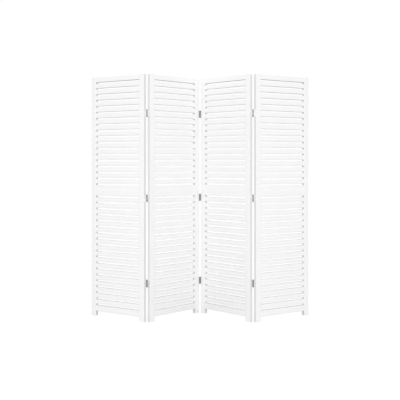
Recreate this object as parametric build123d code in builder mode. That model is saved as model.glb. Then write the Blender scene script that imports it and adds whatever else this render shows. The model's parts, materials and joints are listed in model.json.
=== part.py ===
from build123d import *
from math import cos, radians, sin
import os

os.makedirs("parts", exist_ok=True)

# Folding room divider: four slatted wooden panels joined edge to edge by butt
# hinges. It stands on the floor in a W, +Z up, with -Y towards the viewer and
# the screen's line along X. Every length is in millimetres.

# Overall sizes and the two fold angles of the standing screen
SCREEN_HEIGHT = 1700.0
PANEL_WIDTH = 460.0
OUTER_YAW = 31.0
INNER_YAW = 43.0

# Stiles: the two uprights of a panel, which run down as its legs
STILE_WIDTH = 40.0
STILE_THICKNESS = 27.0
STILE_ROUNDING = 2.5
STILE_END_ROUNDING = 1.2

# Rails: the three crosspieces, set back a little from both faces of the stiles
RAIL_SETBACK = 1.0
RAIL_ROUNDING = 1.8
TOP_RAIL_HEIGHT = 36.0
MIDDLE_RAIL_HEIGHT = 44.5
BOTTOM_RAIL_HEIGHT = 40.5
FOOT_HEIGHT = 34.0
MIDDLE_RAIL_LEVEL = 855.5

# Slats: flat boards let into shallow mortises in the stiles. Each field takes
# as many as fit nearest to this gap, and shares what is left between them. The
# lowest slat of the upper field rests on the middle rail, but for the seat gap.
SLAT_GAP = 11.0
SLAT_THICKNESS = 20.0
SLAT_HEIGHT = 31.4
SLAT_ROUNDING = 2.0
MORTISE_DEPTH = 8.0
SEAT_GAP = 0.2

# Dowels: two at each end of each rail
DOWEL_RADIUS = 4.0
DOWEL_SPACING = 19.0
DOWEL_DEPTH_IN_STILE = 18.0
DOWEL_DEPTH_IN_RAIL = 22.0

# Butt hinges: three to a joint
HINGE_LENGTH = 50.0
LEAF_WIDTH = 20.0
LEAF_THICKNESS = 1.5
LEAF_CORNER = 2.0
KNUCKLE_RADIUS = 5.0
KNUCKLES = 5
KNUCKLE_END_GAP = 0.4
KNUCKLE_SWING_GAP = 0.35
KNUCKLE_FACE_GAP = 0.5
CLOSED_LEAF_GAP = 1.2
PIN_RADIUS = 2.0
PIN_RUNNING_GAP = 0.05
PIN_HEAD_RADIUS = 3.2
PIN_HEAD_HEIGHT = 1.4
PIN_HEAD_CHAMFER = 0.35
OUTER_HINGE_FOOT = 262.0
OUTER_HINGE_HEAD = 268.0
CENTRE_HINGE_FOOT = 236.0
CENTRE_HINGE_HEAD = 256.0

# Countersunk wood screws: three to a leaf
SCREW_HEAD_RADIUS = 3.0
SCREW_SHANK_RADIUS = 1.5
SCREW_SHANK_LENGTH = 12.0
SCREW_TIP_LENGTH = 3.0
SCREW_TIP_RADIUS = 0.3
SCREW_SPACING = 17.0
SCREW_STAGGER = 2.5
RECESS_LENGTH = 3.4
RECESS_WIDTH = 0.8
RECESS_DEPTH = 0.8

# Sizes worked out from those above
opening_width = PANEL_WIDTH - 2 * STILE_WIDTH
half_thickness = STILE_THICKNESS / 2
rail_thickness = STILE_THICKNESS - 2 * RAIL_SETBACK
bottom_rail_top = FOOT_HEIGHT + BOTTOM_RAIL_HEIGHT
middle_rail_top = MIDDLE_RAIL_LEVEL + MIDDLE_RAIL_HEIGHT
top_rail_level = SCREEN_HEIGHT - TOP_RAIL_HEIGHT
slat_pitch = SLAT_HEIGHT + SLAT_GAP
lower_field = MIDDLE_RAIL_LEVEL - bottom_rail_top
upper_field = top_rail_level - middle_rail_top - SEAT_GAP
lower_count = round((lower_field - SLAT_GAP) / slat_pitch)
upper_count = round(upper_field / slat_pitch)
lower_gap = (lower_field - lower_count * SLAT_HEIGHT) / (lower_count + 1)
upper_gap = (upper_field - upper_count * SLAT_HEIGHT) / upper_count
lower_first = bottom_rail_top + lower_gap + SLAT_HEIGHT / 2
upper_first = middle_rail_top + SEAT_GAP + SLAT_HEIGHT / 2
lower_slat_levels = [lower_first + i * (SLAT_HEIGHT + lower_gap) for i in range(lower_count)]
upper_slat_levels = [upper_first + i * (SLAT_HEIGHT + upper_gap) for i in range(upper_count)]
rail_sizes = {
    "bottom_rail": (FOOT_HEIGHT, BOTTOM_RAIL_HEIGHT),
    "middle_rail": (MIDDLE_RAIL_LEVEL, MIDDLE_RAIL_HEIGHT),
    "top_rail": (top_rail_level, TOP_RAIL_HEIGHT),
}
dowel_levels = [
    level + height / 2 + side * DOWEL_SPACING / 2
    for level, height in rail_sizes.values()
    for side in (-1, 1)
]
knuckle_pitch = HINGE_LENGTH / KNUCKLES
pin_face_offset = KNUCKLE_RADIUS + KNUCKLE_FACE_GAP
pin_edge_offset = LEAF_THICKNESS + CLOSED_LEAF_GAP / 2
screw_row = pin_face_offset + LEAF_WIDTH / 2
screw_length = SCREW_SHANK_LENGTH + SCREW_TIP_LENGTH


def hinge_levels(foot, head):
    """Heights of the low, middle and high hinge of one joint."""
    low = foot
    high = SCREEN_HEIGHT - head
    return {"low": low, "middle": (low + high) / 2, "high": high}


outer_levels = hinge_levels(OUTER_HINGE_FOOT, OUTER_HINGE_HEAD)
centre_levels = hinge_levels(CENTRE_HINGE_FOOT, CENTRE_HINGE_HEAD)

# Lay out the fold in plan, working outwards from the centre pin. A panel's own
# plane has x along the panel, y through its thickness away from the viewer and
# z up, with its corner at the left end of the front face.


def panel_plane(corner, yaw):
    """A panel's own plane on the floor, turned by yaw degrees about +Z."""
    run = Vector(cos(radians(yaw)), sin(radians(yaw)), 0)
    return Plane(origin=corner, x_dir=run, z_dir=(0, 0, 1))


def panel_from_pin(pin, yaw, pin_x, pin_y):
    """A panel's plane, set so that its own point (pin_x, pin_y) lies on the pin."""
    turned = panel_plane((0, 0, 0), yaw)
    return panel_plane(pin - turned.from_local_coords((pin_x, pin_y, 0)), yaw)


left_pin_x = -pin_edge_offset
right_pin_x = PANEL_WIDTH + pin_edge_offset
front_pin_y = -pin_face_offset
back_pin_y = STILE_THICKNESS + pin_face_offset


def lay_out(centre_pin):
    """The four panel planes and the three pin axes, for a centre pin at this point."""
    second = panel_from_pin(centre_pin, INNER_YAW, right_pin_x, front_pin_y)
    third = panel_from_pin(centre_pin, -INNER_YAW, left_pin_x, front_pin_y)
    left_pin = second.from_local_coords((left_pin_x, back_pin_y, 0))
    right_pin = third.from_local_coords((right_pin_x, back_pin_y, 0))
    first = panel_from_pin(left_pin, -OUTER_YAW, right_pin_x, back_pin_y)
    fourth = panel_from_pin(right_pin, OUTER_YAW, left_pin_x, back_pin_y)
    return (first, second, third, fourth), (left_pin, centre_pin, right_pin)


def depth_range(planes):
    """Least and greatest Y reached by the rounded corners of these panels."""
    rounding = STILE_ROUNDING
    corners = [
        plane.from_local_coords((x, y, 0)).Y
        for plane in planes
        for x in (rounding, PANEL_WIDTH - rounding)
        for y in (rounding, STILE_THICKNESS - rounding)
    ]
    return min(corners) - rounding, max(corners) + rounding


nearest, farthest = depth_range(lay_out(Vector(0, 0, 0))[0])
panel_planes, pin_axes = lay_out(Vector(0, -(nearest + farthest) / 2, 0))


def cross_plane(panel, x):
    """Plane across a panel at x: its own x runs through the thickness, its y runs up."""
    return Plane(
        origin=panel.from_local_coords((x, 0, 0)), x_dir=panel.y_dir, z_dir=panel.x_dir
    )


def leaf_plane(panel, pin, level, at_left_end, pin_at_front):
    """A hinge leaf's plane, centred on the pin.

    Its x runs from the pin towards the stile's edge, its y towards and then
    through the panel's thickness.
    """
    into_stile = panel.x_dir if at_left_end else -panel.x_dir
    through_panel = panel.y_dir if pin_at_front else -panel.y_dir
    centre = pin + Vector(0, 0, level)
    return Plane(origin=centre, x_dir=into_stile, z_dir=into_stile.cross(through_panel))


def screw_planes(leaf):
    """Planes of a leaf's three screws: origin at the head's middle, z into the stile."""
    planes = []
    for step in (-1, 0, 1):
        row = screw_row + SCREW_STAGGER * (1 if step == 0 else -1)
        seat = (pin_edge_offset - LEAF_THICKNESS, row, step * SCREW_SPACING)
        planes.append(
            Plane(origin=leaf.from_local_coords(seat), x_dir=leaf.y_dir, z_dir=leaf.x_dir)
        )
    return planes


def build_stile(panel, left_x, mortise_x, dowel_x, leaves):
    """One upright, with its mortises, dowel holes and screw holes."""
    with BuildPart() as stile:
        with BuildSketch(panel):
            with Locations((left_x + STILE_WIDTH / 2, half_thickness)):
                Rectangle(STILE_WIDTH, STILE_THICKNESS)
        extrude(amount=SCREEN_HEIGHT)
        fillet(stile.edges().filter_by(Axis.Z), radius=STILE_ROUNDING)
        fillet(stile.faces().sort_by(Axis.Z)[-1].edges(), radius=STILE_END_ROUNDING)
        fillet(stile.faces().sort_by(Axis.Z)[0].edges(), radius=STILE_END_ROUNDING)
        with BuildSketch(cross_plane(panel, mortise_x)):
            with Locations(*[(half_thickness, z) for z in lower_slat_levels + upper_slat_levels]):
                RectangleRounded(SLAT_THICKNESS, SLAT_HEIGHT, SLAT_ROUNDING)
        extrude(amount=MORTISE_DEPTH, mode=Mode.SUBTRACT)
        with BuildSketch(cross_plane(panel, dowel_x)):
            with Locations(*[(half_thickness, z) for z in dowel_levels]):
                Circle(DOWEL_RADIUS)
        extrude(amount=DOWEL_DEPTH_IN_STILE, mode=Mode.SUBTRACT)
        for leaf in leaves:
            for seat in screw_planes(leaf):
                with BuildSketch(seat.offset(LEAF_THICKNESS)):
                    Circle(SCREW_SHANK_RADIUS)
                extrude(amount=screw_length, mode=Mode.SUBTRACT)
    return stile


def build_rail(panel, level, height):
    """One crosspiece, drilled at both ends for its dowels."""
    with BuildPart() as rail:
        with BuildSketch(cross_plane(panel, STILE_WIDTH)):
            with Locations((half_thickness, level + height / 2)):
                RectangleRounded(rail_thickness, height, RAIL_ROUNDING)
        extrude(amount=opening_width)
        for hole_x in (STILE_WIDTH, PANEL_WIDTH - STILE_WIDTH - DOWEL_DEPTH_IN_RAIL):
            with BuildSketch(cross_plane(panel, hole_x)):
                for side in (-1, 1):
                    with Locations((half_thickness, level + height / 2 + side * DOWEL_SPACING / 2)):
                        Circle(DOWEL_RADIUS)
            extrude(amount=DOWEL_DEPTH_IN_RAIL, mode=Mode.SUBTRACT)
    return rail


def build_slats(panel, levels):
    """One field of slats, each with both ends in the stiles' mortises."""
    with BuildPart() as slats:
        with BuildSketch(cross_plane(panel, STILE_WIDTH - MORTISE_DEPTH)):
            with Locations(*[(half_thickness, z) for z in levels]):
                RectangleRounded(SLAT_THICKNESS, SLAT_HEIGHT, SLAT_ROUNDING)
        extrude(amount=opening_width + 2 * MORTISE_DEPTH)
    return slats


def build_dowels(panel):
    """The dowels that join a panel's three rails to its stiles."""
    with BuildPart() as dowels:
        far_x = PANEL_WIDTH - STILE_WIDTH - DOWEL_DEPTH_IN_RAIL
        for start_x in (STILE_WIDTH - DOWEL_DEPTH_IN_STILE, far_x):
            with BuildSketch(cross_plane(panel, start_x)):
                with Locations(*[(half_thickness, z) for z in dowel_levels]):
                    Circle(DOWEL_RADIUS)
            extrude(amount=DOWEL_DEPTH_IN_STILE + DOWEL_DEPTH_IN_RAIL)
    return dowels


def build_leaf(leaf, own_knuckles, bore_radius):
    """A hinge leaf: a plate on the stile's edge with its share of the knuckles."""
    with BuildPart() as hinge_leaf:
        with BuildSketch(leaf.offset(-HINGE_LENGTH / 2)):
            with Locations((pin_edge_offset - LEAF_THICKNESS, 0)):
                Rectangle(LEAF_THICKNESS, pin_face_offset + LEAF_WIDTH, align=(Align.MIN, Align.MIN))
            Circle(KNUCKLE_RADIUS)
        extrude(amount=HINGE_LENGTH)
        through_plate = hinge_leaf.edges().filter_by(Axis(leaf.origin, leaf.x_dir))
        fillet(through_plate.sort_by(Axis(leaf.origin, leaf.y_dir))[-2:], radius=LEAF_CORNER)
        for knuckle in range(KNUCKLES):
            if knuckle not in own_knuckles:
                middle = (knuckle + 0.5) * knuckle_pitch - HINGE_LENGTH / 2
                start = middle - (knuckle_pitch + KNUCKLE_END_GAP) / 2
                with BuildSketch(leaf.offset(start)):
                    Circle(KNUCKLE_RADIUS + KNUCKLE_SWING_GAP)
                extrude(amount=knuckle_pitch + KNUCKLE_END_GAP, mode=Mode.SUBTRACT)
        with BuildSketch(leaf.offset(-HINGE_LENGTH / 2)):
            Circle(bore_radius)
        extrude(amount=HINGE_LENGTH, mode=Mode.SUBTRACT)
        with Locations(*screw_planes(leaf)):
            Cone(
                SCREW_HEAD_RADIUS,
                SCREW_SHANK_RADIUS,
                LEAF_THICKNESS,
                align=(Align.CENTER, Align.CENTER, Align.MIN),
                mode=Mode.SUBTRACT,
            )
    return hinge_leaf


def build_screws(leaves):
    """The countersunk screws that hold a panel's hinge leaves."""
    with BuildPart() as screws:
        seats = [seat for leaf in leaves for seat in screw_planes(leaf)]
        on_axis = (Align.CENTER, Align.CENTER, Align.MIN)
        with Locations(*seats):
            Cone(SCREW_HEAD_RADIUS, SCREW_SHANK_RADIUS, LEAF_THICKNESS, align=on_axis)
        with Locations(*[seat.offset(LEAF_THICKNESS) for seat in seats]):
            Cylinder(SCREW_SHANK_RADIUS, SCREW_SHANK_LENGTH, align=on_axis)
        with Locations(*[seat.offset(LEAF_THICKNESS + SCREW_SHANK_LENGTH) for seat in seats]):
            Cone(SCREW_SHANK_RADIUS, SCREW_TIP_RADIUS, SCREW_TIP_LENGTH, align=on_axis)
        with Locations(*seats):
            Box(RECESS_LENGTH, RECESS_WIDTH, RECESS_DEPTH, align=on_axis, mode=Mode.SUBTRACT)
            Box(RECESS_WIDTH, RECESS_LENGTH, RECESS_DEPTH, align=on_axis, mode=Mode.SUBTRACT)
    return screws


def build_pins(axis_point, levels):
    """The headed pins of one joint's three hinges."""
    with BuildPart() as pins:
        for level in levels.values():
            low_end = level - HINGE_LENGTH / 2
            with BuildSketch(Plane.XY.offset(low_end)):
                with Locations((axis_point.X, axis_point.Y)):
                    Circle(PIN_RADIUS)
            extrude(amount=HINGE_LENGTH)
            for head_level in (low_end - PIN_HEAD_HEIGHT, low_end + HINGE_LENGTH):
                with BuildSketch(Plane.XY.offset(head_level)):
                    with Locations((axis_point.X, axis_point.Y)):
                        Circle(PIN_HEAD_RADIUS)
                extrude(amount=PIN_HEAD_HEIGHT)
        between_radii = (PIN_RADIUS + PIN_HEAD_RADIUS) / 2
        circles = pins.edges().filter_by(GeomType.CIRCLE)
        head_rims = [edge for edge in circles if edge.radius > between_radii]
        chamfer(head_rims, length=PIN_HEAD_CHAMFER)
    return pins


def save(built, name):
    """Label a finished sub-part and write it out."""
    built.part.label = name
    export_step(built.part, f"parts/{name}.step")


# Hinged edges: the panels that meet at each joint, the pin's side of the
# screen and the hinge heights. The first panel named carries the pins and the
# outer and middle knuckles; the second turns about them.
joints = {
    "hinge_12": (2, 1, False, outer_levels),
    "hinge_23": (2, 3, True, centre_levels),
    "hinge_34": (3, 4, False, outer_levels),
}
panel_leaves = {1: [], 2: [], 3: [], 4: []}
fixed_knuckles = range(0, KNUCKLES, 2)
turning_knuckles = range(1, KNUCKLES, 2)

for pin, (joint, (carrier, turner, pin_at_front, levels)) in zip(pin_axes, joints.items()):
    save(build_pins(pin, levels), f"{joint}_pins")
    for number in (carrier, turner):
        at_left_end = number == max(carrier, turner)
        for level_name, level in levels.items():
            leaf = leaf_plane(panel_planes[number - 1], pin, level, at_left_end, pin_at_front)
            panel_leaves[number].append((at_left_end, leaf))
            if number == carrier:
                hinge_leaf = build_leaf(leaf, fixed_knuckles, PIN_RADIUS)
            else:
                hinge_leaf = build_leaf(leaf, turning_knuckles, PIN_RADIUS + PIN_RUNNING_GAP)
            save(hinge_leaf, f"{joint}_{level_name}_leaf_{number}")

left_mortise_x = STILE_WIDTH - MORTISE_DEPTH
left_dowel_x = STILE_WIDTH - DOWEL_DEPTH_IN_STILE
right_stile_x = PANEL_WIDTH - STILE_WIDTH

for number, panel in enumerate(panel_planes, start=1):
    name = f"panel_{number}"
    left_leaves = [leaf for at_left_end, leaf in panel_leaves[number] if at_left_end]
    right_leaves = [leaf for at_left_end, leaf in panel_leaves[number] if not at_left_end]
    left_stile = build_stile(panel, 0, left_mortise_x, left_dowel_x, left_leaves)
    save(left_stile, f"{name}_left_stile")
    right_stile = build_stile(panel, right_stile_x, right_stile_x, right_stile_x, right_leaves)
    save(right_stile, f"{name}_right_stile")
    for rail_name, (level, height) in rail_sizes.items():
        save(build_rail(panel, level, height), f"{name}_{rail_name}")
    save(build_slats(panel, lower_slat_levels), f"{name}_lower_slats")
    save(build_slats(panel, upper_slat_levels), f"{name}_upper_slats")
    save(build_dowels(panel), f"{name}_dowels")
    save(build_screws(left_leaves + right_leaves), f"{name}_screws")
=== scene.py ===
# %% [markdown]
# # A slatted folding screen
#
# The object is a free-standing room divider: four painted wooden panels, each
# a ladder of slats between two uprights, joined edge to edge by small steel
# butt hinges. It stands in a W, so that it cannot fall over.
#
# The shapes that must be exact, the hinges above all, come from the CAD model.
# Blender adds what the eye reads as wood and paint: softened edges, the bead of
# paint where one board meets another, brush marks, grain that shows faintly
# through the coats, and satin metal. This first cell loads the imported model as
# a fixed frame. Everything is in metres, +Z is up and the viewer looks along +Y.

# %% Load the frame
import json
import math

import bmesh
import bpy
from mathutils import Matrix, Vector

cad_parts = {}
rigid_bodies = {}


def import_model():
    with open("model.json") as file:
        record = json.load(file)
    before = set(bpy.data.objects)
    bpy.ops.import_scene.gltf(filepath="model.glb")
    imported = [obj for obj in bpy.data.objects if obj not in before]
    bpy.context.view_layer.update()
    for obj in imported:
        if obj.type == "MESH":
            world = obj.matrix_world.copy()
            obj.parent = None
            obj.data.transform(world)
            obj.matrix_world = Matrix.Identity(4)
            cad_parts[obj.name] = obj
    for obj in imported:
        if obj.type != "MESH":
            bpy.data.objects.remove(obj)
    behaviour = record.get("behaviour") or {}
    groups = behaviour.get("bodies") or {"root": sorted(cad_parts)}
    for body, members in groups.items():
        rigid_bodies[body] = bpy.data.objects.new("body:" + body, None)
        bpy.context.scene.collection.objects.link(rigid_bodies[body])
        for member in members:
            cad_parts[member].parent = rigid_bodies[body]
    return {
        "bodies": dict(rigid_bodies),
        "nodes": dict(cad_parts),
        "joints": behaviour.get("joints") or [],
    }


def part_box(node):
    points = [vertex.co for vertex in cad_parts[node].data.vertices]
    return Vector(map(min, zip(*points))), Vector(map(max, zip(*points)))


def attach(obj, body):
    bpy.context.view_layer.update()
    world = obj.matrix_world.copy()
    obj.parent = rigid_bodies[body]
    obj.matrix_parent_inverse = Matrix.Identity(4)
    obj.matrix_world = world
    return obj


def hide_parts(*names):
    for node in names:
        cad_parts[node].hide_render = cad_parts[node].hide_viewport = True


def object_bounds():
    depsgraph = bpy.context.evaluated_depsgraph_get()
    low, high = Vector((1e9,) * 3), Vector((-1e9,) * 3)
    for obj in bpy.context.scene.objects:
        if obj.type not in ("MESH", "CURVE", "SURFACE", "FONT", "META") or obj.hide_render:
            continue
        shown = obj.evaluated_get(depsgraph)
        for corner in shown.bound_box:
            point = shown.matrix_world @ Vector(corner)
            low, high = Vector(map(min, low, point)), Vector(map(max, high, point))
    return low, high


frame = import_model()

cad_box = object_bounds()
scene = bpy.context.scene
nodes = frame["nodes"]
panels = sorted(frame["bodies"])
print("panels", panels, "CAD nodes", len(nodes))

# %% [markdown]
# ## Finding each panel's own directions
#
# The panels stand at an angle, so a box along X, Y and Z says little about the
# boards in them. Each panel needs its own pair of directions: *run*, along the
# panel, and *depth*, through its thickness. They could be typed in as angles,
# but reading them from the top rail keeps them true if the model changes: the
# longest mesh edge of its tall faces is a diagonal, and seen from above that
# diagonal lies exactly along the run. The rise it must have rules out the
# diagonals of the top and bottom faces, which lie askew.

# %% Measure the panels
LEAST_RISE = 0.01


def run_of(panel):
    """Unit vector along a panel, from its left end to its right, read from its top rail."""
    mesh = nodes[f"{panel}_top_rail"].data
    longest = Vector((0, 0, 0))
    for edge in mesh.edges:
        a, b = (mesh.vertices[i].co for i in edge.vertices)
        span = b - a
        if abs(span.z) > LEAST_RISE and span.length > longest.length:
            longest = span
    run = Vector((longest.x, longest.y, 0)).normalized()
    return run if run.x > 0 else -run


UP = Vector((0, 0, 1))
runs = {panel: run_of(panel) for panel in panels}
depths = {panel: UP.cross(runs[panel]) for panel in panels}


def board_box(panel, name):
    """Least and greatest (run, depth, up) that one of a panel's CAD boards reaches."""
    axes = (runs[panel], depths[panel], UP)
    points = [v.co for v in nodes[name].data.vertices]
    spans = [[p.dot(axis) for p in points] for axis in axes]
    return [min(s) for s in spans], [max(s) for s in spans]


for panel in panels:
    turn = math.degrees(math.atan2(runs[panel].y, runs[panel].x))
    low, high = board_box(panel, f"{panel}_left_stile")
    size = [round((b - a) * 1000, 1) for a, b in zip(low, high)]
    print(panel, "turned", round(turn, 2), "degrees; stile", size, "mm")

# %% [markdown]
# ## One board, many boards
#
# Every painted board here is a bar with a rounded rectangular section. A cube
# with a bevel would do, but a *loft* says more: the same section is placed at a
# list of stations along the board, each a little smaller or larger, and the
# rings are joined with quads. Shrinking the last rings rounds a board's end.
# Growing them makes the small concave bead that paint leaves in a corner.

# %% Section and loft
CORNER_STEPS = 4
LEAST_RADIUS = 0.0001


def rounded_section(half_width, half_height, top_radius, bottom_radius):
    """Points of a rectangle about (0, 0) with rounded corners, anticlockwise."""
    points = []
    for quarter in range(4):
        radius = (top_radius, top_radius, bottom_radius, bottom_radius)[quarter]
        centre_x = (half_width - radius) * (1, -1, -1, 1)[quarter]
        centre_y = (half_height - radius) * (1, 1, -1, -1)[quarter]
        for step in range(CORNER_STEPS + 1):
            angle = math.radians(90) * (quarter + step / CORNER_STEPS)
            x = centre_x + radius * math.cos(angle)
            y = centre_y + radius * math.sin(angle)
            points.append((x, y))
    return points


def loft_board(bm, centre, directions, half_size, radii, stations):
    """Add one closed board to bm.

    directions are (along, across, upward), half_size and radii describe the
    section, and stations are (distance along, growth of the section).
    """
    along, across, upward = directions
    rings = []
    for distance, growth in stations:
        corners = [max(radius + growth, LEAST_RADIUS) for radius in radii]
        section = rounded_section(half_size[0] + growth, half_size[1] + growth, *corners)
        middle = centre + along * distance
        rings.append([bm.verts.new(middle + across * x + upward * y) for x, y in section])
    for first, second in zip(rings, rings[1:]):
        for i in range(len(first)):
            j = (i + 1) % len(first)
            bm.faces.new((first[i], first[j], second[j], second[i]))
    bm.faces.new(list(reversed(rings[0])))
    bm.faces.new(rings[-1])


def finish_piece(bm, name, body, *stands_for):
    """Turn bm into a smooth-shaded piece that rides on a body and stands for CAD nodes."""
    bmesh.ops.recalc_face_normals(bm, faces=bm.faces)
    mesh = bpy.data.meshes.new(name)
    bm.to_mesh(mesh)
    bm.free()
    piece = bpy.data.objects.new(name, mesh)
    scene.collection.objects.link(piece)
    for polygon in mesh.polygons:
        polygon.use_smooth = True
    weigh = piece.modifiers.new("even shading", "WEIGHTED_NORMAL")
    weigh.keep_sharp = True
    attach(piece, body)
    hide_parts(*stands_for)
    return piece


print("a section has", 4 * (CORNER_STEPS + 1), "points")

# %% [markdown]
# ## Stiles
#
# The stiles are the uprights, planed square and then eased by hand along every
# edge before painting. They run past the bottom rail and so become the legs.
# Both ends are eased too, in a quarter round of about a millimetre, which is
# what the first and last few stations of the loft do.

# %% Make the stiles
STILE_EDGE = 0.0025
STILE_END = 0.0012
END_STEPS = 3


def eased_ends(start, end, easing):
    """Stations of a board whose two ends are rounded over by this much."""
    turns = [math.radians(90) * i / END_STEPS for i in range(END_STEPS + 1)]
    curve = [(easing * (1 - math.sin(a)), -easing * (1 - math.cos(a))) for a in turns]
    first = [(start + distance, growth) for distance, growth in reversed(curve)]
    last = [(end - distance, growth) for distance, growth in curve]
    return first + last


stile_boxes = {}
painted = []
for panel in panels:
    for side in ("left", "right"):
        name = f"{panel}_{side}_stile"
        low, high = board_box(panel, name)
        stile_boxes[name] = (low, high)
        middle = [(a + b) / 2 for a, b in zip(low, high)]
        centre = runs[panel] * middle[0] + depths[panel] * middle[1]
        half_size = ((high[0] - low[0]) / 2, (high[1] - low[1]) / 2)
        directions = (UP, runs[panel], depths[panel])
        bm = bmesh.new()
        stations = eased_ends(low[2], high[2], STILE_END)
        loft_board(bm, centre, directions, half_size, (STILE_EDGE, STILE_EDGE), stations)
        painted.append((finish_piece(bm, f"{name}_painted", panel, name), panel, "upright"))
print("stiles", len(stile_boxes), "height", round(high[2] - low[2], 4))

# %% [markdown]
# ## Rails
#
# Three rails hold each panel's stiles apart: one flush with the top, one about
# half way up and one just above the floor. They are glued on hidden dowels, so
# all that shows is a hairline where the end grain meets the stile. A very small
# easing at each end draws that line, as the paint does when it breaks there.

# %% Make the rails
RAIL_EDGE = 0.0018
RAIL_HAIRLINE = 0.0004

for panel in panels:
    for level in ("top", "middle", "bottom"):
        name = f"{panel}_{level}_rail"
        low, high = board_box(panel, name)
        middle = [(a + b) / 2 for a, b in zip(low, high)]
        centre = depths[panel] * middle[1] + UP * middle[2]
        half_size = ((high[1] - low[1]) / 2, (high[2] - low[2]) / 2)
        directions = (runs[panel], depths[panel], UP)
        bm = bmesh.new()
        stations = eased_ends(low[0], high[0], RAIL_HAIRLINE)
        loft_board(bm, centre, directions, half_size, (RAIL_EDGE, RAIL_EDGE), stations)
        painted.append((finish_piece(bm, f"{name}_painted", panel, name), panel, "crosswise"))
print("rails", 3 * len(panels), "last one", round((high[0] - low[0]) * 1000), "mm long")

# %% [markdown]
# ## Slats
#
# The slats are flat boards let into the stiles, so air passes between them but
# little can be seen. The CAD node holds a whole field of them as loose solids.
# The heights that their faces span give every slat's place, however many there
# are: where the faces leave a height free, there is a gap between two slats.
#
# Where a slat enters the stile, brushed paint gathers in the corner and dries
# as a tiny concave bead. The loft makes it by growing the last few rings. The
# lowest slat of the upper field rests on the middle rail. Paint has bridged the
# joint there, so that slat reaches down to the rail and its lower edges are sharp.

# %% Make the slats
SLAT_EDGE = 0.002
SEATED_EDGE = 0.0003
SEAT_REACH = 0.002
PAINT_BEAD = 0.0009
HIDDEN_END = 0.002
BEAD_CURVE = ((0.0, 1.0), (0.3, 0.5), (0.6, 0.22), (1.0, 0.06), (1.5, 0.0))


def slat_levels(name):
    """Lowest and highest points of each slat in a field, from the bottom up.

    Faces of one slat overlap in height and faces of two slats never do, so
    joining the faces' height ranges wherever they overlap leaves one per slat.
    """
    mesh = nodes[name].data
    heights = [[mesh.vertices[i].co.z for i in face.vertices] for face in mesh.polygons]
    spans = []
    for bottom, top in sorted((min(h), max(h)) for h in heights):
        if spans and bottom <= spans[-1][1]:
            spans[-1][1] = max(spans[-1][1], top)
        else:
            spans.append([bottom, top])
    return spans


def beaded_ends(start, end):
    """Stations of a slat, with a bead of paint where it meets each stile."""
    first = [(start - HIDDEN_END, PAINT_BEAD)]
    first += [(start + PAINT_BEAD * d, PAINT_BEAD * g) for d, g in BEAD_CURVE]
    last = [(end - PAINT_BEAD * d, PAINT_BEAD * g) for d, g in reversed(BEAD_CURVE)]
    return first + last + [(end + HIDDEN_END, PAINT_BEAD)]


rail_under = {"lower": "bottom", "upper": "middle"}
for panel in panels:
    inner_left = stile_boxes[f"{panel}_left_stile"][1][0]
    inner_right = stile_boxes[f"{panel}_right_stile"][0][0]
    directions = (runs[panel], depths[panel], UP)
    for field in ("lower", "upper"):
        name = f"{panel}_{field}_slats"
        low, high = board_box(panel, name)
        rail_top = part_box(f"{panel}_{rail_under[field]}_rail")[1][2]
        bm = bmesh.new()
        levels = slat_levels(name)
        for number, (bottom, top) in enumerate(levels):
            seated = number == 0 and bottom - rail_top < SEAT_REACH
            foot = rail_top if seated else bottom
            centre = depths[panel] * (low[1] + high[1]) / 2 + UP * (foot + top) / 2
            half_size = ((high[1] - low[1]) / 2, (top - foot) / 2)
            radii = (SLAT_EDGE, SEATED_EDGE if seated else SLAT_EDGE)
            stations = beaded_ends(inner_left, inner_right)
            loft_board(bm, centre, directions, half_size, radii, stations)
        painted.append((finish_piece(bm, f"{name}_painted", panel, name), panel, "crosswise"))
        print(name, len(levels), "slats,", round((top - bottom) * 1000, 1), "mm tall")

# %% [markdown]
# ## White paint over wood
#
# A flat white would look like plastic. Real brushed paint shows several things
# at once, at different sizes, and each gets its own texture here:
#
# - the boards' grain, felt as long shallow ripples along the board;
# - brush marks, much finer and also along the board;
# - a slight orange-peel from the roller;
# - patches a little duller, where the coat is thinner;
# - narrow sides a little greyer than the faces: painted shade, for the light that reaches them
#   less;
# - edges rubbed a little smoother and thinner by hands.
#
# The grain has to follow each board, so the coordinates are turned to the
# panel's own directions and then stretched along the board. A noise that is
# sampled finely across and coarsely along becomes streaks.
#
# All of it is built from shader nodes. A few helpers first: each adds one node,
# fills or links its inputs, and hands back the output that the next one needs.

# %% Node helpers
def wire(tree, kind, inputs=None, **settings):
    """Add a node, set its properties, and fill or link its inputs by name or number."""
    node = tree.nodes.new(kind)
    for key, value in settings.items():
        setattr(node, key, value)
    for key, value in (inputs or {}).items():
        if isinstance(value, bpy.types.NodeSocket):
            tree.links.new(value, node.inputs[key])
        else:
            node.inputs[key].default_value = value
    return node


def noise(tree, vector, scale, detail, roughness=0.5):
    """Grey noise between about 0.3 and 0.7."""
    inputs = {"Vector": vector, "Scale": scale, "Detail": detail, "Roughness": roughness}
    return wire(tree, "ShaderNodeTexNoise", inputs).outputs["Fac"]


def remap(tree, value, from_low, from_high, to_low, to_high):
    """Stretch a grey value from one range to another, and clamp it."""
    inputs = {0: value, 1: from_low, 2: from_high, 3: to_low, 4: to_high}
    return wire(tree, "ShaderNodeMapRange", inputs).outputs[0]


def arithmetic(tree, operation, *values):
    """The result of a Math node."""
    return wire(tree, "ShaderNodeMath", dict(enumerate(values)), operation=operation).outputs[0]


def vector_arithmetic(tree, operation, first, second, result="Vector"):
    """The vector or the value that a Vector Math node gives."""
    inputs = {0: first, 1: second}
    return wire(tree, "ShaderNodeVectorMath", inputs, operation=operation).outputs[result]


def stretched(tree, vector, scale, turn=0.0):
    """Coordinates turned about Z and then stretched, for noise that runs as streaks."""
    inputs = {"Vector": vector, "Rotation": (0, 0, turn), "Scale": scale}
    return wire(tree, "ShaderNodeMapping", inputs).outputs[0]


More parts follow.
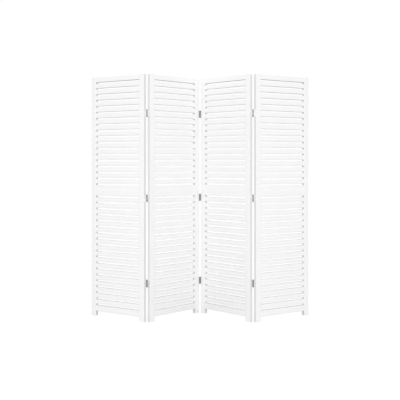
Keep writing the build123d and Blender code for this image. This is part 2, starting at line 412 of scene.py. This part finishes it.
def bump(tree, height, strength, distance, normal=None):
    """Raise the surface by a grey value; distance is the real height in metres."""
    inputs = {"Height": height, "Strength": strength, "Distance": distance}
    if normal is not None:
        inputs["Normal"] = normal
    return wire(tree, "ShaderNodeBump", inputs).outputs["Normal"]


def blend_colours(tree, factor, first, second):
    """Mix two colours by a grey value."""
    inputs = {0: factor, 6: first, 7: second}
    return wire(tree, "ShaderNodeMix", inputs, data_type="RGBA").outputs[2]


def new_surface(name):
    """A material with only a Principled shader, its tree and that shader."""
    material = bpy.data.materials.new(name)
    material.use_nodes = True
    tree = material.node_tree
    return material, tree, tree.nodes["Principled BSDF"]


print("helpers ready")

# %% [markdown]
# Each panel gets two versions of the paint, one whose streaks run up for the
# stiles and one whose streaks run across for rails and slats. The boards of a
# panel were cut from different planks, so the height of each slat, rounded to
# whole slats, shifts the pattern: the streaks never run on from one slat to
# the next. A stile is one plank, so its rounding step is taller than any stile.

# %% Where a point lies along its plank
PLANK_SHIFT = (3.0, 3.0, 3.0)
STILE_PLANK = 5.0
slat_pitch = (levels[-1][0] - levels[0][0]) / (len(levels) - 1)


def plank_place(tree, place, panel, direction):
    """Coordinates along one panel's boards, shifted from plank to plank."""
    turn = -math.atan2(runs[panel].y, runs[panel].x)
    along = stretched(tree, place, (1, 1, 1), turn)
    height = wire(tree, "ShaderNodeSeparateXYZ", {0: place}).outputs["Z"]
    plank_height = slat_pitch if direction == "crosswise" else STILE_PLANK
    plank = arithmetic(tree, "FLOOR", arithmetic(tree, "DIVIDE", height, plank_height))
    draw = wire(tree, "ShaderNodeTexWhiteNoise", {"W": plank}, noise_dimensions="1D")
    shift = vector_arithmetic(tree, "MULTIPLY", draw.outputs["Color"], PLANK_SHIFT)
    return vector_arithmetic(tree, "ADD", along, shift)


print("slats stand", round(slat_pitch * 1000, 2), "mm apart")

# %% [markdown]
# Two masks come next. Hands wear the edges: a softened copy of the normal
# differs from the true one only near an edge, so comparing the two finds the
# edges without any painting by hand. The narrow sides get painted shade, a
# greyer white: on them the surface faces along the panel or up and down, not through its depth.

# %% Worn edges and narrow sides
RUBBED_RADIUS = 0.0016


def rubbed_edges(tree, patches):
    """Where hands have worn an edge: where a softened normal leaves the true one, in patches."""
    soft = wire(tree, "ShaderNodeBevel", {"Radius": RUBBED_RADIUS}, samples=4).outputs[0]
    true = wire(tree, "ShaderNodeNewGeometry").outputs["Normal"]
    agreement = vector_arithmetic(tree, "DOT_PRODUCT", soft, true, "Value")
    edge = remap(tree, agreement, 1.0, 0.93, 0.0, 1.0)
    return arithmetic(tree, "MULTIPLY", edge, remap(tree, patches, 0.4, 0.65, 0.0, 0.8))


def narrow_sides(tree, normal, panel):
    """One on the narrow sides of a panel's boards, nothing on their front and back."""
    outward = vector_arithmetic(tree, "DOT_PRODUCT", normal, depths[panel], "Value")
    return remap(tree, arithmetic(tree, "ABSOLUTE", outward), 0.9, 0.4, 0.0, 1.0)


print("masks ready")

# %% [markdown]
# The paint puts these together. Colour changes very little, a few hundredths
# between a fresh face and a rubbed edge, since more would read as dirt. Most of
# the effect is in the roughness and in the three bumps, whose heights are real
# ones: hundredths of a millimetre for the roller, tenths for the grain.

# %% Paint
FRESH_WHITE = (0.83, 0.832, 0.83, 1)
THIN_WHITE = (0.815, 0.816, 0.812, 1)
WORN_WHITE = (0.78, 0.778, 0.77, 1)
# The grey for the narrow sides is painted shade: they take less light than the faces.
SIDE_SHADE_WHITE = (0.73, 0.732, 0.73, 1)
STREAK = 22
SATIN = (0.26, 0.50)


def brushed_paint(name, panel, direction):
    """White satin paint whose streaks run up or across one panel's boards."""
    material, tree, shader = new_surface(name)
    own_space = wire(tree, "ShaderNodeTexCoord")
    place = plank_place(tree, own_space.outputs["Object"], panel, direction)
    stretch = (1, STREAK, STREAK) if direction == "crosswise" else (STREAK, STREAK, 1)
    streaks = stretched(tree, place, stretch)

    grain = noise(tree, streaks, 5.5, 4.0, 0.6)
    brush = noise(tree, streaks, 38.0, 3.0, 0.55)
    peel = noise(tree, place, 650.0, 1.0)
    patches = noise(tree, place, 9.0, 3.0)
    rubbed = rubbed_edges(tree, patches)
    side = narrow_sides(tree, own_space.outputs["Normal"], panel)

    thin = remap(tree, patches, 0.35, 0.7, 0.0, 1.0)
    coat = blend_colours(tree, thin, FRESH_WHITE, THIN_WHITE)
    grained = blend_colours(tree, remap(tree, grain, 0.5, 0.8, 0.0, 0.6), coat, THIN_WHITE)
    # Painted shade: the narrow sides of the boards are greyed.
    side_shaded = blend_colours(tree, side, grained, SIDE_SHADE_WHITE)
    colour = blend_colours(tree, rubbed, side_shaded, WORN_WHITE)
    tree.links.new(colour, shader.inputs["Base Color"])

    brushed = remap(tree, brush, 0.3, 0.7, 0.36, 0.50)
    rough = remap(tree, arithmetic(tree, "SUBTRACT", brushed, rubbed), 0.0, 0.5, *SATIN)
    tree.links.new(rough, shader.inputs["Roughness"])

    raised = bump(tree, peel, 0.12, 0.00006)
    raised = bump(tree, brush, 0.22, 0.00010, raised)
    raised = bump(tree, grain, 0.20, 0.00020, raised)
    tree.links.new(raised, shader.inputs["Normal"])
    return material


paints = {}
for piece, panel, direction in painted:
    key = (panel, direction)
    if key not in paints:
        paints[key] = brushed_paint(f"white_paint_{panel}_{direction}", panel, direction)
    piece.data.materials.append(paints[key])
print("paints", len(paints), "on", len(painted), "pieces")

# %% [markdown]
# ## Hinge steel
#
# The butt hinges are pressed steel with a satin zinc plate. Plate is not even:
# it has a fine crystalline mottle and faint rolling marks up the leaf. The pins
# and screws share the same metal, but differ a little in brightness and
# roughness. These CAD nodes already have the right shape, so only their
# materials change. The dowels inside the joints are bare beech.

# %% Steel, and bare wood for the hidden dowels
# The first grey and the two reaches below paint shade on the hinge knuckles: a darker steel, how
# far it reaches from the pin, and how ragged its rim is.
KNUCKLE_SHADE_STEEL = (0.25, 0.25, 0.255, 1)
KNUCKLE_SHADE_REACH = 0.0062
KNUCKLE_SHADE_RAGGEDNESS = 0.0012
ROLLED = 0.04
FLECK = 8
PALE_BEECH = (0.62, 0.44, 0.27, 1)
DARK_BEECH = (0.42, 0.26, 0.14, 1)


def knuckle_shade_about(tree, place, pin, mottle):
    """One within the knuckle barrel about an upright pin, where shade is painted, nothing beyond
    its ragged rim.
    """
    in_plan = vector_arithmetic(tree, "MULTIPLY", place, (1, 1, 0))
    pin_in_plan = (pin[0], pin[1], 0)
    away = vector_arithmetic(tree, "DISTANCE", in_plan, pin_in_plan, "Value")
    ragged_away = arithmetic(tree, "MULTIPLY_ADD", mottle, KNUCKLE_SHADE_RAGGEDNESS, away)
    return remap(tree, ragged_away, KNUCKLE_SHADE_REACH, KNUCKLE_SHADE_REACH + KNUCKLE_SHADE_RAGGEDNESS, 1.0, 0.0)


def zinc_plate(name, dark, light, rough_low, rough_high, pin=None):
    """Satin zinc plate between two greys, with mottle and rolling marks, and painted knuckle shade
    about a pin.
    """
    material, tree, shader = new_surface(name)
    place = wire(tree, "ShaderNodeTexCoord").outputs["Object"]
    mottle = noise(tree, place, 420.0, 4.0, 0.65)
    rolling = noise(tree, stretched(tree, place, (1, 1, ROLLED)), 2600.0, 2.0)
    crystals = wire(tree, "ShaderNodeTexVoronoi", {"Vector": place, "Scale": 700.0})
    colour = blend_colours(tree, remap(tree, mottle, 0.3, 0.7, 0.0, 1.0), dark, light)
    # Painted shade: the knuckles about the pin are darkened, for the dim surroundings they reflect.
    if pin is not None:
        knuckle_shade = knuckle_shade_about(tree, place, pin, mottle)
        colour = blend_colours(tree, knuckle_shade, colour, KNUCKLE_SHADE_STEEL)
    tree.links.new(colour, shader.inputs["Base Color"])
    rough = remap(tree, rolling, 0.3, 0.7, rough_low, rough_high)
    tree.links.new(rough, shader.inputs["Roughness"])
    raised = bump(tree, crystals.outputs["Distance"], 0.15, 0.00005)
    raised = bump(tree, rolling, 0.25, 0.00004, raised)
    tree.links.new(raised, shader.inputs["Normal"])
    shader.inputs["Metallic"].default_value = 1.0
    return material


def bare_beech(name):
    """Plain turned beech, with short dark flecks."""
    material, tree, shader = new_surface(name)
    place = wire(tree, "ShaderNodeTexCoord").outputs["Object"]
    grain = noise(tree, stretched(tree, place, (1, 1, FLECK)), 180.0, 3.0)
    flecked = remap(tree, grain, 0.4, 0.75, 0.0, 1.0)
    colour = blend_colours(tree, flecked, PALE_BEECH, DARK_BEECH)
    tree.links.new(colour, shader.inputs["Base Color"])
    tree.links.new(remap(tree, grain, 0.3, 0.7, 0.55, 0.75), shader.inputs["Roughness"])
    tree.links.new(bump(tree, grain, 0.3, 0.0001), shader.inputs["Normal"])
    return material


def grey(level):
    """A neutral colour."""
    return (level, level, level, 1)


print("plate and beech ready")

# %% [markdown]
# The leaves are the brightest of the steel and the pins the darkest. The
# knuckles carry painted shade: a darker steel about the pin, for the dim
# surroundings they reflect, so each leaf's material has to know where its own
# pin stands. The joints in the frame give those places, so each hinge line gets a material of its
# own.

# %% Dress the hinges, pins, screws and dowels
surfaces = {
    "pins": zinc_plate("oiled_hinge_pin", (0.20, 0.20, 0.21, 1), (0.30, 0.30, 0.31, 1), 0.30, 0.42),
    "screws": zinc_plate("zinc_screw", (0.50, 0.50, 0.51, 1), grey(0.66), 0.22, 0.34),
    "dowels": bare_beech("bare_beech_dowel"),
}
for joint in frame["joints"]:
    fold = joint["name"]
    pair = sorted(body.removeprefix("panel_") for body in (joint["parent"], joint["child"]))
    leaf_steel = zinc_plate(f"zinc_leaf_{fold}", grey(0.82), grey(0.90), 0.42, 0.55, joint["pos_m"])
    surfaces["hinge_" + "".join(pair)] = leaf_steel
dressed = 0
for name, node in nodes.items():
    for part, surface in surfaces.items():
        if part in name:
            node.data.materials.clear()
            node.data.materials.append(surface)
            dressed += 1
            break
print("surfaces", sorted(surfaces), "on", dressed, "CAD nodes")

# %% [markdown]
# ## Floor
#
# The screen is shown in an even white studio with no shadow and no horizon. A
# floor lit from above would take the screen's shadow, so this one gives off
# most of its brightness itself, as a translucent floor lit from below does.
# It is kept out of the light that reaches the screen: otherwise it would
# brighten the undersides, which are what draws the slats apart.

# %% Floor
centre_line = Vector(((cad_box[0][0] + cad_box[1][0]) / 2, 0, 0))
span = cad_box[1][0] - cad_box[0][0]
tall = cad_box[1][2]

FLOOR_SPANS = 30
FLOOR_GREY = 0.12
FLOOR_GLOW = 0.89
reach = FLOOR_SPANS * span
corners = [(-reach, -reach, 0), (reach, -reach, 0), (reach, reach, 0), (-reach, reach, 0)]
floor_mesh = bpy.data.meshes.new("studio_floor")
floor_mesh.from_pydata(corners, [], [(0, 1, 2, 3)])
studio_floor = bpy.data.objects.new("studio_floor", floor_mesh)
scene.collection.objects.link(studio_floor)
floor_paint, tree, shader = new_surface("studio_floor_white")
shader.inputs["Base Color"].default_value = grey(FLOOR_GREY)
shader.inputs["Roughness"].default_value = 0.9
shader.inputs["Specular IOR Level"].default_value = 0.1
shader.inputs["Emission Color"].default_value = grey(1)
shader.inputs["Emission Strength"].default_value = FLOOR_GLOW
floor_paint.cycles.emission_sampling = "NONE"
floor_mesh.materials.append(floor_paint)
studio_floor.visible_diffuse = False
studio_floor.visible_glossy = False
print("floor reaches", round(reach), "m, screen spans", round(span, 3), "m")

# %% [markdown]
# ## Light
#
# The room is an even white above the horizon, which is the job a light tent
# does, and dim below it, so that undersides read as undersides. The change is
# spread over a dozen degrees, or it would show as an edge in the satin paint.
#
# Even light alone leaves white on white with nothing to see. A broad soft
# light far in front lifts the faces above the narrow edges. A weaker one high
# behind touches the tops of the slats, which show in the lower half.

# %% Light
UPPER_LIGHT = 1.02
LOWER_LIGHT = 0.2
DIM_BELOW = -0.25
WHITE_ABOVE = -0.03
world = bpy.data.worlds.new("studio_room")
world.use_nodes = True
room = world.node_tree
direction = wire(room, "ShaderNodeTexCoord").outputs["Generated"]
height = wire(room, "ShaderNodeSeparateXYZ", {0: direction}).outputs["Z"]
glow = remap(room, height, DIM_BELOW, WHITE_ABOVE, LOWER_LIGHT, UPPER_LIGHT)
room.links.new(glow, room.nodes["Background"].inputs["Strength"])
room.nodes["Background"].inputs["Color"].default_value = grey(1)
scene.world = world


def softbox(name, place, target, size, power):
    """A square soft light at a place, turned to face a target."""
    data = bpy.data.lights.new(name, "AREA")
    data.shape = "SQUARE"
    data.size = size
    data.energy = power
    light = bpy.data.objects.new(name, data)
    light.location = place
    light.rotation_euler = (Vector(target) - Vector(place)).to_track_quat("-Z", "Y").to_euler()
    scene.collection.objects.link(light)


# Distances and heights are shares of the screen's height; sizes are in metres, powers in watts.
FRONT_DISTANCE, FRONT_HEIGHT, FRONT_SIZE, FRONT_POWER = 5.3, 0.9, 2.4, 447
BACK_DISTANCE, BACK_HEIGHT, BACK_SIZE, BACK_POWER = 4.0, 2.4, 3.0, 50
aim = (centre_line.x, 0, tall / 2)
front_place = (centre_line.x, -FRONT_DISTANCE * tall, FRONT_HEIGHT * tall)
back_place = (centre_line.x, BACK_DISTANCE * tall, BACK_HEIGHT * tall)
softbox("front_softbox", front_place, aim, FRONT_SIZE, FRONT_POWER)
softbox("back_softbox", back_place, aim, BACK_SIZE, BACK_POWER)
print("two soft lights for a screen", round(tall, 3), "m tall")

# %% [markdown]
# ## Camera
#
# The camera stands in front of the middle of the screen at chest height. It
# looks straight ahead, so the stiles stay upright, and a small lens shift
# brings the screen to the middle of the frame, as a view camera would.

# %% Camera
EYE_HEIGHT = 1.101
EYE_DISTANCE = 5.021
LENS = 63.9
LENS_SHIFT = -0.0966
camera_data = bpy.data.cameras.new("view_camera")
camera_data.sensor_width = 36.0
camera_data.lens = LENS
camera_data.shift_y = LENS_SHIFT
camera_data.clip_end = 200.0
camera = bpy.data.objects.new("view_camera", camera_data)
camera.location = (centre_line.x, -EYE_DISTANCE, EYE_HEIGHT)
camera.rotation_euler = (math.radians(90), 0, 0)
scene.collection.objects.link(camera)
scene.camera = camera
scene.view_settings.view_transform = "Standard"
print("camera", [round(v, 3) for v in camera.location], "lens", round(LENS, 1), "mm")
